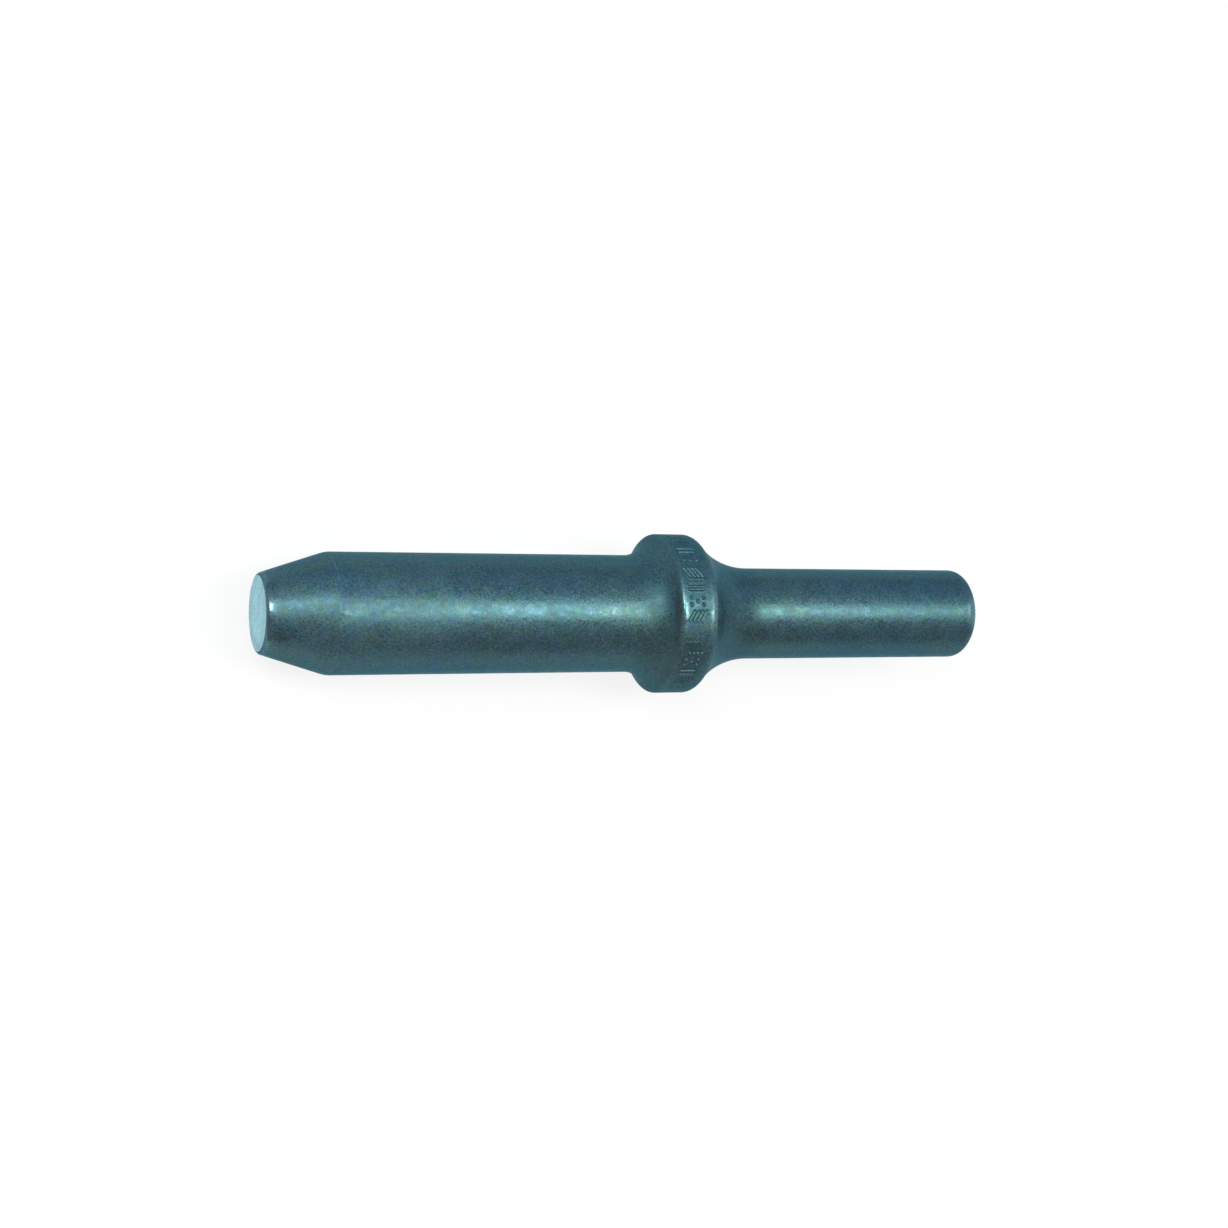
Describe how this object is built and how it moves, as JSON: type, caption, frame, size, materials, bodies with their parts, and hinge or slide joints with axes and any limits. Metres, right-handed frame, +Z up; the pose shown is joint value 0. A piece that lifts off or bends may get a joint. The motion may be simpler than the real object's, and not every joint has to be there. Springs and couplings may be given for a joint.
{
  "type": "rivet set",
  "caption": "Forged steel rivet set for a pneumatic riveting hammer: round struck shank, round collar, plain cylindrical body and a tapered nose with a flat ground working face",
  "frame": {"origin": "centre of the struck face at the end of the shank, on the tool's axis", "axes": "+X out of the struck face along the tool's axis, so that the nose points along -X; +Z up as the tool lies on its side"},
  "size_m": [0.1417, 0.0298, 0.0298],
  "materials": {
    "oxide_steel": "satin dark blue-grey heat-treatment oxide, with the working face ground bright"
  },
  "bodies": {
    "root": {"rivet_set_forging": "oxide_steel"}
  },
  "joints": []
}
